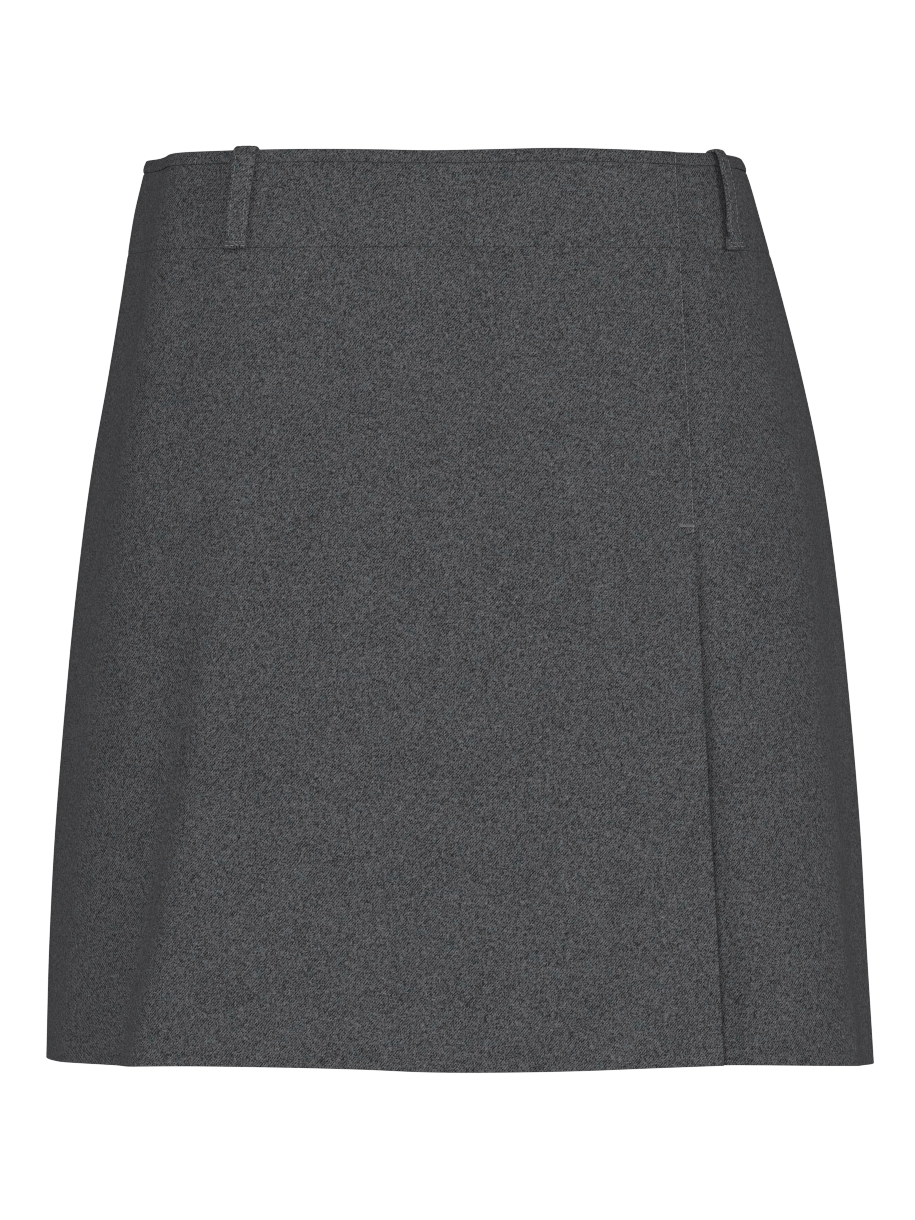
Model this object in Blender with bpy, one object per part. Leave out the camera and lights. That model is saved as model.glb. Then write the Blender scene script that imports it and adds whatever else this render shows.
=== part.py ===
"""Pleated mini skirt, filled out as it is worn.

Metres, +Z up.  The front faces -Y.  Left is -X and right is +X, as seen by
someone who looks at the front.  The origin is the middle of the waist
opening, level with the waist edge.

Every piece is a wall laid on one surface, skirt_point(turn, drop):
  turn  degrees round the waist axis, 0 at the front, 90 at +X, 180 at the back
  drop  metres below the waist edge
"""

from collections import namedtuple
from math import atan2, cos, degrees, pi, radians, sin

import bpy
from mathutils import Vector

# ---- driving sizes -------------------------------------------------------

LENGTH = 0.400            # waist edge to hem
WAISTBAND_HEIGHT = 0.0375
BINDING_HEIGHT = 0.0057
SEAM_GAP = 0.0003         # left between pieces that are sewn together

CLOTH = 0.0011            # wall of a panel
WAISTBAND_WALL = 0.0018
BINDING_WALL = 0.0025
BINDING_PROUD = 0.0004    # the binding stands this far outside the waistband

SIDE_SEAM_TURN = 95.0     # both side seams lie just behind the widest line

# pressed pleat on the right front
FOLD_X_AT_WAIST = 0.1013  # sideways place of the fold, seen from the front
FOLD_X_AT_HEM = 0.1207
PLEAT_RETURN = 0.038      # cloth turned back under the fold
LAP_EASE = 0.020          # run in which it comes up again beside the fold
TACK_DROP = 0.162         # the pleat is stitched shut down to here
FOLD_LIFT = 0.0035        # how far the open fold stands out at the hem
FOLD_LIFT_RUN = 0.050     # width of cloth that lifts with it
RIGHT_TOP_DROP = 0.0004   # the lapped end of the waist edge sits a little lower

# belt loops
LOOP_WIDTH = 0.0088
LOOP_WALL = 0.0010
LOOP_BOTTOM = 0.0435
LOOP_FOLD = 0.0070        # length of the end folded under and stitched
LOOP_ABOVE_EDGE = 0.0016
LOOP_STAND_OFF = 0.0027   # from the waistband to the loop's inner face
LOOP_CLEAR = 0.0005
LOOP_TUCK = 0.0060        # length of the loop's top end inside the waist

Loop = namedtuple("Loop", "name turn_top turn_bottom")
LOOPS = [
    Loop("belt_loop_left_front", -41.9, -40.3),
    Loop("belt_loop_right_front", 59.4, 57.0),
    Loop("belt_loop_right_back", 124.0, 124.0),
    Loop("belt_loop_centre_back", 188.0, 188.0),
    Loop("belt_loop_left_back", 249.0, 249.0),
]

# ---- form of the skirt ---------------------------------------------------

FRONT_SQUARENESS = 3.2    # 2 is an ellipse, more is squarer
BACK_SQUARENESS = 2.25

Section = namedtuple("Section", "drop left right front back")
SECTIONS = [
    Section(0.000, 0.1312, 0.1316, 0.107, 0.094),
    Section(0.010, 0.1336, 0.1353, 0.108, 0.096),
    Section(0.027, 0.1372, 0.1400, 0.110, 0.100),
    Section(0.062, 0.1426, 0.1497, 0.113, 0.109),
    Section(0.098, 0.1485, 0.1588, 0.116, 0.119),
    Section(0.133, 0.1548, 0.1662, 0.119, 0.127),
    Section(0.170, 0.1603, 0.1719, 0.121, 0.132),
    Section(0.222, 0.1665, 0.1779, 0.124, 0.136),
    Section(0.293, 0.1726, 0.1841, 0.127, 0.139),
    Section(0.350, 0.1757, 0.1873, 0.129, 0.141),
    Section(0.400, 0.1771, 0.1904, 0.130, 0.143),
]

# How far the waist edge dips and the hem rises from level, by turn.
Edge = namedtuple("Edge", "turn waist_dip hem_rise")
EDGES = [
    Edge(-180.0, 0.0000, 0.0000),
    Edge(-120.0, 0.0000, 0.0004),
    Edge(-90.0, 0.0010, 0.0018),
    Edge(-70.0, 0.0020, 0.0015),
    Edge(-56.0, 0.0009, 0.0015),
    Edge(-43.0, 0.0005, 0.0023),
    Edge(-29.0, 0.0004, 0.0021),
    Edge(-15.0, 0.0007, 0.0012),
    Edge(-3.0, 0.0011, 0.0001),
    Edge(12.0, 0.0006, 0.0000),
    Edge(25.5, 0.0000, 0.0006),
    Edge(38.5, 0.0004, 0.0020),
    Edge(47.3, 0.0008, 0.0026),
    Edge(60.5, 0.0007, 0.0015),
    Edge(75.3, 0.0009, -0.0001),
    Edge(90.0, 0.0007, -0.0006),
    Edge(110.0, 0.0000, 0.0000),
    Edge(180.0, 0.0000, 0.0000),
]

WAIST_DIP_REACH = 0.030   # the waist edge's dips fade over this much cloth
HEM_RISE_REACH = 0.200

# Soft folds that hang from the hip.  height is in metres at the hem, negative
# inwards; widths are degrees to either side, towards less and more turn.
Fold = namedtuple("Fold", "start full turn_start turn_hem height less more")
FOLDS = [
    Fold(0.090, 0.340, -47.8, -58.6, -0.0130, 7.8, 4.9),
    Fold(0.120, 0.370, -37.5, -48.3, 0.0020, 7.0, 4.4),
    Fold(0.090, 0.290, -68.0, -70.5, -0.0058, 8.7, 7.5),
    Fold(0.120, 0.370, 58.0, 62.8, 0.0040, 7.2, 4.7),
    Fold(0.150, 0.390, 74.4, 75.6, -0.0025, 4.7, 4.7),
    Fold(0.150, 0.390, 122.0, 126.0, -0.0080, 12.0, 10.0),
    Fold(0.170, 0.395, 148.0, 151.0, 0.0060, 12.0, 12.0),
    Fold(0.140, 0.380, 178.0, 175.0, -0.0060, 14.0, 13.0),
    Fold(0.180, 0.395, 207.0, 204.0, 0.0055, 12.0, 11.0),
    Fold(0.160, 0.385, 231.0, 228.0, -0.0085, 10.0, 12.0),
]

# ---- mesh density --------------------------------------------------------

PANEL_ROWS = 15
WAISTBAND_ROWS = 2
WIDE_STEP = 5.0           # degrees between columns of a panel
CLOSE_STEP = 2.6          # the same where a fold is sharp
CLOSE_FROM, CLOSE_TO = -75.0, -36.0
FRONT_MEETS = 30.0        # about where the front meets the pleat's return
PLEAT_COLUMNS = 5         # columns across the turned-under return
EASE_COLUMNS = 5          # columns in which the right front comes up again
RIGHT_COLUMNS = 11        # columns of the right front beside the pleat
FOLD_STEPS = 4            # flats round the pressed fold
SMOOTH_UNDER = radians(35)
PROBE = 0.0005            # step for measuring a direction on the surface


def table_value(rows, column, place):
    """Read a column at a place along the first one, smoothly between the rows."""
    last = len(rows) - 1
    place = min(max(place, rows[0][0]), rows[last][0])
    index = 0
    while index < last - 1 and place > rows[index + 1][0]:
        index += 1
    here, there = rows[index], rows[index + 1]
    before = rows[max(index - 1, 0)]
    after = rows[min(index + 2, last)]
    run = there[0] - here[0]
    share = (place - here[0]) / run
    start, end = getattr(here, column), getattr(there, column)
    slope_in = (end - getattr(before, column)) / (there[0] - before[0]) * run
    slope_out = (getattr(after, column) - start) / (after[0] - here[0]) * run
    cube = share ** 3
    square = share ** 2
    return (start * (2 * cube - 3 * square + 1) + slope_in * (cube - 2 * square + share)
            + end * (3 * square - 2 * cube) + slope_out * (cube - square))


def ease(low, high, value):
    """Go from 0 at low to 1 at high, flat at both ends."""
    share = min(max((value - low) / (high - low), 0.0), 1.0)
    return share * share * (3.0 - 2.0 * share)


def fold_height(turn, drop):
    """Sum of the soft folds at one place, outwards."""
    total = 0.0
    for fold in FOLDS:
        share = ease(fold.start, fold.full, drop)
        if share == 0.0:
            continue
        run = (drop - fold.start) / (LENGTH - fold.start)
        centre = fold.turn_start + (fold.turn_hem - fold.turn_start) * run ** 2
        away = (turn - centre + 180.0) % 360.0 - 180.0
        width = fold.more if away > 0 else fold.less
        if abs(away) < 2 * width:
            total += fold.height * share * (0.5 + 0.5 * cos(pi * away / (2 * width)))
    return total


def section_radius(turn, drop):
    """Distance from the waist axis to the plain section, without folds."""
    sideways, forwards = sin(radians(turn)), cos(radians(turn))
    side = table_value(SECTIONS, "right" if sideways > 0 else "left", drop)
    depth = table_value(SECTIONS, "front" if forwards > 0 else "back", drop)
    power = FRONT_SQUARENESS if forwards > 0 else BACK_SQUARENESS
    return (abs(sideways / side) ** power + abs(forwards / depth) ** power) ** (-1 / power)


def edge_shift(turn, drop):
    """How far the waist edge and the hem lie above level, upwards."""
    wrapped = (turn + 180.0) % 360.0 - 180.0
    dip = table_value(EDGES, "waist_dip", wrapped) * (1 - ease(0.0, WAIST_DIP_REACH, drop))
    rise = table_value(EDGES, "hem_rise", wrapped) * ease(LENGTH - HEM_RISE_REACH, LENGTH, drop)
    return rise - dip


def skirt_point(turn, drop):
    """A point of the outer surface."""
    radius = section_radius(turn, drop) + fold_height(turn, drop)
    height = edge_shift(turn, drop) - drop
    return Vector((radius * sin(radians(turn)), -radius * cos(radians(turn)), height))


def surface_frame(turn, drop):
    """The point, the way along the cloth to more turn, and the way out of it."""
    point = skirt_point(turn, drop)
    step = degrees(PROBE / point.xy.length)
    along = (skirt_point(turn + step, drop) - skirt_point(turn - step, drop)).normalized()
    down = (skirt_point(turn, drop + PROBE) - skirt_point(turn, drop - PROBE)).normalized()
    return point, along, down.cross(along).normalized()


def turn_at_fold(drop):
    """Turn of the straight pleat fold at a drop."""
    place = FOLD_X_AT_WAIST + (FOLD_X_AT_HEM - FOLD_X_AT_WAIST) * drop / LENGTH
    side = table_value(SECTIONS, "right", drop)
    front = table_value(SECTIONS, "front", drop)
    forwards = front * (1 - (place / side) ** FRONT_SQUARENESS) ** (1 / FRONT_SQUARENESS)
    return degrees(atan2(place, forwards))


def turn_beside_fold(distance, drop):
    """Turn of a place at a signed distance from the fold along the cloth."""
    edge = turn_at_fold(drop)
    radius = section_radius(edge, drop)
    return edge + degrees(distance / radius)


def fold_lift(turn, drop):
    """How far the open pleat stands out, most at its fold."""
    edge = turn_at_fold(drop)
    distance = radians(turn - edge) * section_radius(edge, drop)
    opened = ease(TACK_DROP, LENGTH, drop)
    return FOLD_LIFT * opened * ease(-FOLD_LIFT_RUN, 0.0, distance)


# A station is one column of a wall: where it is, how deep its middle lies
# under the skirt surface, a shift along the cloth, and which way the cloth
# heads there (0 towards more turn, 180 turned back under itself).
Station = namedtuple("Station", "turn depth shift heading")


def wall_pair(station, drop, wall):
    """Outer and inner point of a wall at one station and drop."""
    point, along, out = surface_frame(station.turn, drop)
    middle = point - out * station.depth + along * station.shift
    heading = radians(station.heading)
    face = out * cos(heading) + along * sin(heading)
    return middle + face * wall / 2, middle - face * wall / 2


def add_wall(name, pairs, material):
    """Make one closed solid from a grid of outer and inner points, row by row."""
    rows, columns = len(pairs), len(pairs[0])
    points = [pair[0] for row in pairs for pair in row]
    points += [pair[1] for row in pairs for pair in row]
    inner = rows * columns

    def at(row, column):
        return row * columns + column

    faces = []

    def add_quad(a, b, c, d):
        faces.append((a, b, c))
        faces.append((a, c, d))

    for row in range(rows - 1):
        for column in range(columns - 1):
            a, b = at(row, column), at(row, column + 1)
            c, d = at(row + 1, column + 1), at(row + 1, column)
            add_quad(a, d, c, b)
            add_quad(a + inner, b + inner, c + inner, d + inner)
    for column in range(columns - 1):
        top, low = at(0, column), at(rows - 1, column)
        add_quad(top, top + 1, top + 1 + inner, top + inner)
        add_quad(low + 1, low, low + inner, low + 1 + inner)
    for row in range(rows - 1):
        start, end = at(row, 0), at(row, columns - 1)
        add_quad(start + columns, start, start + inner, start + columns + inner)
        add_quad(end, end + columns, end + columns + inner, end + inner)
    return add_object(name, points, faces, material)


def add_object(name, points, faces, material):
    mesh = bpy.data.meshes.new(name)
    mesh.from_pydata([tuple(point) for point in points], [], faces)
    mesh.materials.append(material)
    mesh.shade_smooth()
    mesh.set_sharp_from_angle(angle=SMOOTH_UNDER)
    piece = bpy.data.objects.new(name, mesh)
    bpy.context.collection.objects.link(piece)
    return piece


def spread(low, high, count):
    """count + 1 even values from low to high."""
    return [low + (high - low) * step / count for step in range(count + 1)]


def turn_steps(low, high):
    """Even turns from low to high, about WIDE_STEP apart."""
    return spread(low, high, max(1, round((high - low) / WIDE_STEP)))


def seam_turn(turn, drop, side):
    """A seam's turn, moved half a seam gap to one side."""
    return turn + side * degrees(SEAM_GAP / 2 / section_radius(turn, drop))


def front_stations(drop, wall, returned):
    """Stations of a front piece: across the front, round the fold, back under."""
    middle = wall / 2
    bend = (wall + SEAM_GAP) / 2
    reach = bend + middle
    start = seam_turn(-SIDE_SEAM_TURN, drop, 1)
    meet = turn_beside_fold(-PLEAT_RETURN, drop)
    side = spread(start, CLOSE_FROM, round((CLOSE_FROM + SIDE_SEAM_TURN) / WIDE_STEP))
    folds = spread(CLOSE_FROM, CLOSE_TO, round((CLOSE_TO - CLOSE_FROM) / CLOSE_STEP))
    front = spread(CLOSE_TO, meet, round((FRONT_MEETS - CLOSE_TO) / WIDE_STEP))
    over_return = [turn_beside_fold(distance, drop)
                   for distance in spread(-PLEAT_RETURN, -2 * reach, PLEAT_COLUMNS)]
    last = [] if returned else [turn_beside_fold(-SEAM_GAP, drop)]
    stations = []
    for turn in side + folds[1:] + front[1:] + over_return[1:] + last:
        stations.append(Station(turn, middle - fold_lift(turn, drop), 0.0, 0.0))
    if not returned:
        return stations
    edge = turn_beside_fold(-reach, drop)
    for heading in spread(0.0, 180.0, FOLD_STEPS):
        depth = middle + bend * (1 - cos(radians(heading))) - fold_lift(edge, drop)
        stations.append(Station(edge, depth, bend * sin(radians(heading)), heading))
    for turn in reversed(over_return):
        depth = middle + 2 * bend - fold_lift(turn, drop)
        stations.append(Station(turn, depth, 0.0, 180.0))
    return stations


def right_front_stations(drop, wall, lap_depth, proud=0.0):
    """Stations of a right front piece, from under the lap to the side seam."""
    middle = wall / 2
    stations = []
    for distance in spread(-PLEAT_RETURN, 0.0, PLEAT_COLUMNS):
        turn = turn_beside_fold(distance, drop)
        stations.append(Station(turn, lap_depth + middle, 0.0, 0.0))
    for distance in spread(0.0, LAP_EASE, EASE_COLUMNS)[1:-1]:
        up = (lap_depth + proud) * ease(0.0, LAP_EASE, distance)
        turn = turn_beside_fold(distance, drop)
        stations.append(Station(turn, lap_depth - up + middle, 0.0, 0.0))
    clear = turn_beside_fold(LAP_EASE, drop)
    end = seam_turn(SIDE_SEAM_TURN, drop, -1)
    for turn in spread(clear, end, RIGHT_COLUMNS):
        stations.append(Station(turn, middle - proud, 0.0, 0.0))
    return stations


def back_stations(drop, wall, proud=0.0):
    """Stations of a back piece, from the right side seam round to the left."""
    start = seam_turn(SIDE_SEAM_TURN, drop, 1)
    end = seam_turn(360.0 - SIDE_SEAM_TURN, drop, -1)
    return [Station(turn, wall / 2 - proud, 0.0, 0.0) for turn in turn_steps(start, end)]


def grid(stations_at, drops, wall):
    return [[wall_pair(station, drop, wall) for station in stations_at(drop)] for drop in drops]


def make_panels(material):
    top = BINDING_HEIGHT + WAISTBAND_HEIGHT + SEAM_GAP
    drops = spread(top, LENGTH, PANEL_ROWS)
    front = grid(lambda drop: front_stations(drop, CLOTH, True), drops, CLOTH)
    add_wall("front_panel", front, material)
    under_pleat = 2 * (CLOTH + SEAM_GAP)
    right = grid(lambda drop: right_front_stations(drop, CLOTH, under_pleat), drops, CLOTH)
    add_wall("right_front_panel", right, material)
    back = grid(lambda drop: back_stations(drop, CLOTH), drops, CLOTH)
    add_wall("back_panel", back, material)


def make_waistband(material):
    wall = WAISTBAND_WALL
    drops = spread(BINDING_HEIGHT + SEAM_GAP, BINDING_HEIGHT + WAISTBAND_HEIGHT, WAISTBAND_ROWS)
    front = grid(lambda drop: front_stations(drop, wall, False), drops, wall)
    add_wall("waistband_front", front, material)
    low = [drops[0] + RIGHT_TOP_DROP] + drops[1:]
    under_lap = wall + SEAM_GAP
    right = grid(lambda drop: right_front_stations(drop, wall, under_lap), low, wall)
    add_wall("waistband_right_front", right, material)
    back = grid(lambda drop: back_stations(drop, wall), drops, wall)
    add_wall("waistband_back", back, material)


def make_binding(material):
    wall = BINDING_WALL
    drops = [0.0, BINDING_HEIGHT]

    def proud_front_stations(drop):
        return [station._replace(depth=station.depth - BINDING_PROUD)
                for station in front_stations(drop, wall, False)]

    add_wall("binding_front", grid(proud_front_stations, drops, wall), material)
    low = [drop + RIGHT_TOP_DROP for drop in drops]
    under_lap = wall - BINDING_PROUD + SEAM_GAP

    def right_stations(drop):
        return right_front_stations(drop, wall, under_lap, BINDING_PROUD)

    right = grid(right_stations, low, wall)
    add_wall("binding_right_front", right, material)
    back = grid(lambda drop: back_stations(drop, wall, BINDING_PROUD), drops, wall)
    add_wall("binding_back", back, material)


def loop_route():
    """Middle of a belt loop's cloth as (out, drop), from inside over the edge down."""
    middle = LOOP_WALL / 2
    inside = BINDING_PROUD - BINDING_WALL - LOOP_CLEAR - middle
    outside = BINDING_PROUD + LOOP_CLEAR + middle
    over = middle - LOOP_ABOVE_EDGE
    away = LOOP_STAND_OFF + middle
    bend = (LOOP_WALL + SEAM_GAP) / 2
    under = LOOP_CLEAR + middle
    turn_drop = LOOP_BOTTOM - bend - middle
    fold_top = LOOP_BOTTOM - LOOP_FOLD
    shoulder = 0.0006
    route = [
        (inside, LOOP_TUCK),
        (inside, 2 * shoulder),
        (inside + shoulder / 2, over + shoulder),
        (inside + 2 * shoulder, over),
        (outside - shoulder, over),
        (outside + shoulder / 2, over + shoulder),
        ((outside + away) / 2, LOOP_TUCK / 2),
        (away, 2 * LOOP_TUCK),
        (away + shoulder / 4, (2 * LOOP_TUCK + fold_top) / 2),
        (away, fold_top - LOOP_TUCK),
        (under + 2 * bend, fold_top),
    ]
    for heading in spread(0.0, 180.0, FOLD_STEPS):
        across = under + bend + bend * cos(radians(heading))
        route.append((across, turn_drop + bend * sin(radians(heading))))
    route.append((under, fold_top + shoulder))
    return route


def make_loop(loop, material):
    """A strap sewn over the waist edge, with its lower end folded under."""
    route = [Vector(place) for place in loop_route()]
    sections = []
    for index, place in enumerate(route):
        ahead = route[min(index + 1, len(route) - 1)]
        behind = route[max(index - 1, 0)]
        way = (ahead - behind).normalized()
        half = Vector((way.y, -way.x)) * LOOP_WALL / 2
        corners = []
        for side in (-LOOP_WIDTH / 2, LOOP_WIDTH / 2):
            for across in (place + half, place - half):
                drop = max(across.y, 0.0)
                lean = (loop.turn_bottom - loop.turn_top) * drop / LOOP_BOTTOM
                turn = loop.turn_top + lean
                beside = turn + degrees(side / section_radius(turn, drop))
                point, _, out = surface_frame(beside, drop)
                above = Vector((0.0, 0.0, max(-across.y, 0.0)))
                corners.append(point + out * across.x + above)
        sections.append(corners)
    add_strap(loop.name, sections, material)


def add_strap(name, sections, material):
    """Make a closed solid through four-cornered sections."""
    points = [point for section in sections for point in section]
    ring = (0, 1, 3, 2)
    faces = []
    for index in range(len(sections) - 1):
        base = 4 * index
        for corner in range(4):
            here, there = ring[corner], ring[(corner + 1) % 4]
            faces.append((base + here, base + there, base + 4 + there))
            faces.append((base + here, base + 4 + there, base + 4 + here))
    last = 4 * (len(sections) - 1)
    faces.append((2, 3, 1))
    faces.append((2, 1, 0))
    faces.append((last + 0, last + 1, last + 3))
    faces.append((last + 0, last + 3, last + 2))
    add_object(name, points, faces, material)


def make_loops(material):
    for loop in LOOPS:
        make_loop(loop, material)


def clear_scene():
    for item in list(bpy.data.objects):
        bpy.data.objects.remove(item, do_unlink=True)


def cloth_material(name, colour):
    material = bpy.data.materials.new(name)
    material.use_nodes = True
    shader = material.node_tree.nodes["Principled BSDF"]
    shader.inputs["Base Color"].default_value = (*colour, 1.0)
    shader.inputs["Roughness"].default_value = 0.85
    shader.inputs["Metallic"].default_value = 0.0
    return material


def main():
    clear_scene()
    make_panels(cloth_material("panel_cloth", (0.075, 0.075, 0.08)))
    make_waistband(cloth_material("waistband_cloth", (0.075, 0.075, 0.08)))
    make_binding(cloth_material("binding_cloth", (0.07, 0.07, 0.075)))
    make_loops(cloth_material("loop_cloth", (0.08, 0.08, 0.085)))


main()
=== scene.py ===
"""Pleated mini skirt in grey wool twill: the look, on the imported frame.

Metres, +Z up.  The front faces -Y, left is -X and right is +X as seen from
the front.  Every piece is a shell on one surface, skirt_points(turn, drop):
  turn  degrees round the waist axis, 0 at the front, 90 at +X, 180 at the back
  drop  metres below the waist edge
"""

from collections import namedtuple
from math import cos, pi, radians, sin

import bpy
import numpy as np
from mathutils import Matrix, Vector


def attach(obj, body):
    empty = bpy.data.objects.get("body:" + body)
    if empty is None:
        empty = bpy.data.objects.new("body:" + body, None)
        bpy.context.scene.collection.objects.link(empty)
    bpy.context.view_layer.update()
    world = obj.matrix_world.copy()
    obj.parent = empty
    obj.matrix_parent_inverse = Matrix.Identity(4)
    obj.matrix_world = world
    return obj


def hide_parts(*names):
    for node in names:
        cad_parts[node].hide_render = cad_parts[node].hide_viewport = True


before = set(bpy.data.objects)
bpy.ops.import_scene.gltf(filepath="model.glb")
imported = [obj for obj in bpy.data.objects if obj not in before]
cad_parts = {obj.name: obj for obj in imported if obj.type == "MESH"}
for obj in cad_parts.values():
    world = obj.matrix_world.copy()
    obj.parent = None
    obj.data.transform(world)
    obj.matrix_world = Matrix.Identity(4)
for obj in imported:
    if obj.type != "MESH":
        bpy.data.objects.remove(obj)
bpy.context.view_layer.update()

# ---- sizes, as in the part's source where no comment says otherwise -------

LENGTH = 0.400  # waist edge to hem
WAISTBAND_HEIGHT = 0.0375
BINDING_HEIGHT = 0.0057
SEAM_GAP = 0.00006  # 0.3 mm between the solids, nearly shut here
BINDING_PROUD = 0.0004
SIDE_SEAM_TURN = 95.0
FOLD_X_AT_WAIST = 0.1013
FOLD_X_AT_HEM = 0.1207
PLEAT_RETURN = 0.038
LAP_EASE = 0.020
TACK_DROP = 0.162
FOLD_LIFT = 0.0035
FOLD_LIFT_RUN = 0.050
RIGHT_TOP_DROP = 0.0001  # 0.4 mm in the solids
LOOP_BOTTOM = 0.0441  # 43.5 mm in the solids
LOOP_FOLD = 0.0070
LOOP_ABOVE_EDGE = 0.0016
LOOP_STAND_OFF = 0.0022  # 2.7 mm in the solids
LOOP_TUCK = 0.0060

# ---- sizes of the shells and the sewing ----------------------------------

PANEL_SHELL = 0.0008
WAISTBAND_SHELL = 0.0014
BINDING_THICK = 0.0022
BINDING_CLOTH = 0.0007
PLEAT_HOLLOW = 0.0050  # the cloth under the open pleat lies this much deeper at the hem
PLEAT_FULL = 0.330  # drop where that hollow is at its deepest
PLEAT_RUN = 0.0135  # this far beside the fold the cloth is up again
PLEAT_BOTTOM = 0.0070  # at the hem the slower rise starts this far beside the fold
PLEAT_OPENS = 0.230  # drop where that start begins to move off the fold
GROOVE_DEPTH = 0.0022  # the part of that depth that is reached just below the bar tack
GROOVE_FULL = TACK_DROP + 0.025  # drop where it is reached
GROOVE_RUN = 0.0042  # width of the close groove beside the fold
GROOVE_SHARE = 0.50  # share of the way up that lies in it
LOOP_SHELL = 0.0017
PLY_GAP = 0.00015  # between cloth that lies on cloth
CELL = 0.0029  # wanted size of a mesh cell
SEAM_EDGE = 0.00015  # rounding of an edge that is sewn to another
SEAM_ROLL = 0.00022  # how far cloth rolls into a seam
SEAM_ROLL_RUN = 0.0013
BORDER_STEPS = (0.00012, 0.00035, 0.0008, 0.0016)  # close columns along an edge
TONGUE = 0.0026  # the waistband's top edge reaches this far into the binding
TONGUE_THIN = 0.25  # and is this much thinner there
TONGUE_TUCK = 0.00015
TONGUE_RUN = 0.0012  # full thickness again this far below the binding
WAISTBAND_EDGE = (0.0001, 0.00025, 0.00045, 0.0007, 0.0010, 0.0014)  # close rows just below the binding
TOP_DROP_FADES = 0.0020
BINDING_EDGE = (0.0008, 0.0004, 0.0001, 0.0)  # close rows at the binding's lower edge
BINDING_BELLY = 0.0003
BINDING_SINK = 0.0002  # its lower edge is drawn in by the seam
BINDING_SINK_RUN = 0.0012
BINDING_ROLL = 0.0003
LOOP_CLEAR = 0.0004  # between a loop and the binding
LOOP_END_CLEAR = 0.0007  # between its folded end and the waistband
LOOP_SQUEEZE = 0.0002  # half of how far the folded end's layers are pressed together
LOOP_TILT_FADES = 0.010
LOOP_EDGE_POWER = 8  # high: square edges
LOOP_STITCH_LINE = 0.62  # share of the half width
LOOP_STITCH_DENT = 0.2
THINNEST_EDGE = 0.2  # share of the wall that is left at an edge
INNER_WEAVE_SHIFT = 0.0007
MEAN_RADIUS = 0.155  # turns the width of a close column into degrees
FRONT_LEFT_COLUMNS, FRONT_RIGHT_COLUMNS, RETURN_COLUMNS = 74, 24, 14
UNDER_LAP_COLUMNS, RISE_COLUMNS, RIGHT_COLUMNS, BACK_COLUMNS = 12, 20, 34, 140
FOLD_STEPS = 8  # round the returned fold
PROBE = 0.0005  # step for measuring a direction on the surface
STITCH_PITCH = 0.0019
STITCH_LENGTH = 0.00135
THREAD_RADIUS = 0.00019
STITCH_SHOWS = 0.00002  # the middle of an edge stitch lies this much above the cloth
EDGE_STITCH_IN = 0.0009  # from the fold
EDGE_STITCH_END = 0.166  # drop, just below the end of the seam
TACK_FROM, TACK_TO = -0.0068, -0.0008  # the bar tack, measured from the fold
TACK_BELOW = 0.0018  # and below the end of the seam
TACK_PROUD = 0.00010

# tilt: how much the left edge stands out, as a share of the half width
Loop = namedtuple("Loop", "name turn_top turn_bottom tilt")
LOOPS = [
    Loop("belt_loop_left_front", -41.1, -41.1, 0.12),
    Loop("belt_loop_right_front", 59.4, 57.0, 0.15),
    Loop("belt_loop_right_back", 124.0, 124.0, 0.10),
    Loop("belt_loop_centre_back", 188.0, 188.0, 0.0),
    Loop("belt_loop_left_back", 249.0, 249.0, -0.08),
]
# drop, and half the width there: narrow over the edge, wide just below it
LOOP_WIDTHS = [(-0.0016, 0.0040), (0.0002, 0.0048), (0.0060, 0.0048), (0.0220, 0.0045),
               (0.0400, 0.0043), (0.0424, 0.0046), (0.0435, 0.0049)]
LOOP_COLUMNS = [0.2, 0.4, 0.6, 0.78, 0.9, 0.97, 1.0]  # on each side of the middle

# ---- form of the skirt ---------------------------------------------------

FRONT_SQUARENESS = 3.2
BACK_SQUARENESS = 2.25

Section = namedtuple("Section", "drop left right front back")
SECTIONS = [Section(*row) for row in (
    (0.0, 0.1312, 0.1316, 0.107, 0.094),
    (0.01, 0.1336, 0.1353, 0.108, 0.096),
    (0.027, 0.1372, 0.14, 0.11, 0.1),
    (0.062, 0.1426, 0.1497, 0.113, 0.109),
    (0.098, 0.1485, 0.1588, 0.116, 0.119),
    (0.133, 0.1548, 0.1662, 0.119, 0.127),
    (0.17, 0.1603, 0.1719, 0.121, 0.132),
    (0.222, 0.1665, 0.1779, 0.124, 0.136),
    (0.293, 0.1726, 0.1841, 0.127, 0.139),
    (0.35, 0.1757, 0.1873, 0.129, 0.141),
    (0.4, 0.1771, 0.1904, 0.13, 0.143),
)]

Edge = namedtuple("Edge", "turn waist_dip hem_rise")
EDGES = [Edge(*row) for row in (
    (-180.0, 0.0, 0.0),
    (-120.0, 0.0, 0.0004),
    (-90.0, 0.001, 0.0018),
    (-70.0, 0.002, 0.0015),
    (-56.0, 0.0009, 0.0015),
    (-43.0, 0.0005, 0.0023),
    (-29.0, 0.0004, 0.0021),
    (-15.0, 0.0007, 0.0012),
    (-3.0, 0.0011, 0.0001),
    (12.0, 0.0006, 0.0),
    (25.5, 0.0, 0.0006),
    (38.5, 0.0004, 0.002),
    (47.3, 0.0008, 0.0026),
    (60.5, 0.0007, 0.0015),
    (75.3, 0.0009, -0.0001),
    (90.0, 0.0007, -0.0006),
    (110.0, 0.0, 0.0),
    (180.0, 0.0, 0.0),
)]

WAIST_DIP_REACH = 0.030
HEM_RISE_REACH = 0.200

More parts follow.
